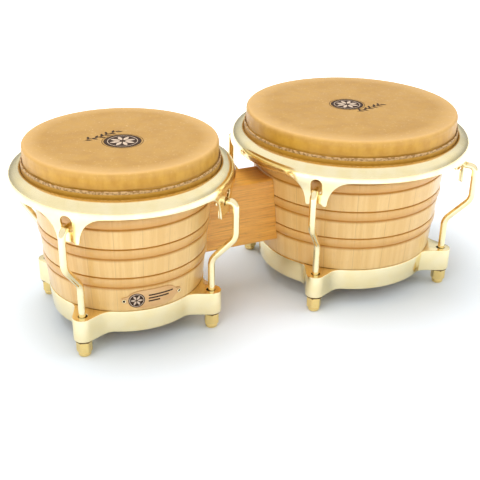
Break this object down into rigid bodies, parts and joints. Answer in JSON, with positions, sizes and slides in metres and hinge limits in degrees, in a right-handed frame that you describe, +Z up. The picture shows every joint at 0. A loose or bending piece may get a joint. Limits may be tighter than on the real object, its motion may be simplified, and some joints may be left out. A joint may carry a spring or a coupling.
{
  "type": "bongo drums",
  "caption": "Small and large conical drums joined by a wooden block, with hide heads under tunable rims, hooks and nuts.",
  "frame": {"origin": "on the floor under the middle of the pair's bounding box", "axes": "+Z up, +X from the small drum to the large one, -Y towards the badge"},
  "size_m": [0.4914, 0.2546, 0.188],
  "materials": {
    "shell_wood": "pale oak staves under satin lacquer",
    "block_wood": "red-brown oak under satin lacquer",
    "rawhide": "natural rawhide, mottled",
    "gold_plate": "polished pale gold plating",
    "steel": "zinc-plated steel",
    "badge": "satin printed metal"
  },
  "bodies": {
    "root": {"macho_shell": "shell_wood", "macho_skin": "rawhide", "macho_flesh_hoop": "steel", "macho_bottom_ring": "gold_plate", "macho_washer_1": "gold_plate", "macho_washer_2": "gold_plate", "macho_washer_3": "gold_plate", "macho_washer_4": "gold_plate", "hembra_shell": "shell_wood", "hembra_skin": "rawhide", "hembra_flesh_hoop": "steel", "hembra_bottom_ring": "gold_plate", "hembra_washer_1": "gold_plate", "hembra_washer_2": "gold_plate", "hembra_washer_3": "gold_plate", "hembra_washer_4": "gold_plate", "centre_block": "block_wood", "block_bolt_upper": "steel", "block_nut_upper": "steel", "block_washer_macho_upper": "steel", "block_washer_hembra_upper": "steel", "block_bolt_lower": "steel", "block_nut_lower": "steel", "block_washer_macho_lower": "steel", "block_washer_hembra_lower": "steel", "badge_plate": "badge", "badge_pin_1": "gold_plate", "badge_pin_2": "gold_plate"},
    "macho_rim_set": {"macho_rim": "gold_plate", "macho_tuning_hook_1": "gold_plate", "macho_tuning_hook_2": "gold_plate", "macho_tuning_hook_3": "gold_plate", "macho_tuning_hook_4": "gold_plate"},
    "macho_nut_1": {"macho_tuning_nut_1": "gold_plate"},
    "macho_nut_2": {"macho_tuning_nut_2": "gold_plate"},
    "macho_nut_3": {"macho_tuning_nut_3": "gold_plate"},
    "macho_nut_4": {"macho_tuning_nut_4": "gold_plate"},
    "hembra_rim_set": {"hembra_rim": "gold_plate", "hembra_tuning_hook_1": "gold_plate", "hembra_tuning_hook_2": "gold_plate", "hembra_tuning_hook_3": "gold_plate", "hembra_tuning_hook_4": "gold_plate"},
    "hembra_nut_1": {"hembra_tuning_nut_1": "gold_plate"},
    "hembra_nut_2": {"hembra_tuning_nut_2": "gold_plate"},
    "hembra_nut_3": {"hembra_tuning_nut_3": "gold_plate"},
    "hembra_nut_4": {"hembra_tuning_nut_4": "gold_plate"}
  },
  "joints": [
    {"name": "macho_rim_lift", "type": "slide", "parent": "root", "child": "macho_rim_set", "axis": [0, 0, 1], "range_m": [0, 0.005]},
    {"name": "macho_nut_turn_1", "type": "hinge", "parent": "root", "child": "macho_nut_1", "pos_m": [-0.07028, 0.06562, 0.008], "axis": [0, 0, 1], "range_deg": [-1418, 0]},
    {"name": "macho_nut_turn_2", "type": "hinge", "parent": "root", "child": "macho_nut_2", "pos_m": [-0.20152, 0.06562, 0.008], "axis": [0, 0, 1], "range_deg": [-1418, 0]},
    {"name": "macho_nut_turn_3", "type": "hinge", "parent": "root", "child": "macho_nut_3", "pos_m": [-0.20152, -0.06562, 0.008], "axis": [0, 0, 1], "range_deg": [-1418, 0]},
    {"name": "macho_nut_turn_4", "type": "hinge", "parent": "root", "child": "macho_nut_4", "pos_m": [-0.07028, -0.06562, 0.008], "axis": [0, 0, 1], "range_deg": [-1418, 0]},
    {"name": "hembra_rim_lift", "type": "slide", "parent": "root", "child": "hembra_rim_set", "axis": [0, 0, 1], "range_m": [0, 0.005]},
    {"name": "hembra_nut_turn_1", "type": "hinge", "parent": "root", "child": "hembra_nut_1", "pos_m": [0.19639, 0.07799, 0.008], "axis": [0, 0, 1], "range_deg": [-1418, 0]},
    {"name": "hembra_nut_turn_2", "type": "hinge", "parent": "root", "child": "hembra_nut_2", "pos_m": [0.04041, 0.07799, 0.008], "axis": [0, 0, 1], "range_deg": [-1418, 0]},
    {"name": "hembra_nut_turn_3", "type": "hinge", "parent": "root", "child": "hembra_nut_3", "pos_m": [0.04041, -0.07799, 0.008], "axis": [0, 0, 1], "range_deg": [-1418, 0]},
    {"name": "hembra_nut_turn_4", "type": "hinge", "parent": "root", "child": "hembra_nut_4", "pos_m": [0.19639, -0.07799, 0.008], "axis": [0, 0, 1], "range_deg": [-1418, 0]}
  ],
  "couplings": [
    {"joint": "macho_nut_turn_1", "follows": "macho_rim_lift", "rad_per_m": -4947.4},
    {"joint": "macho_nut_turn_2", "follows": "macho_rim_lift", "rad_per_m": -4947.4},
    {"joint": "macho_nut_turn_3", "follows": "macho_rim_lift", "rad_per_m": -4947.4},
    {"joint": "macho_nut_turn_4", "follows": "macho_rim_lift", "rad_per_m": -4947.4},
    {"joint": "hembra_nut_turn_1", "follows": "hembra_rim_lift", "rad_per_m": -4947.4},
    {"joint": "hembra_nut_turn_2", "follows": "hembra_rim_lift", "rad_per_m": -4947.4},
    {"joint": "hembra_nut_turn_3", "follows": "hembra_rim_lift", "rad_per_m": -4947.4},
    {"joint": "hembra_nut_turn_4", "follows": "hembra_rim_lift", "rad_per_m": -4947.4}
  ]
}
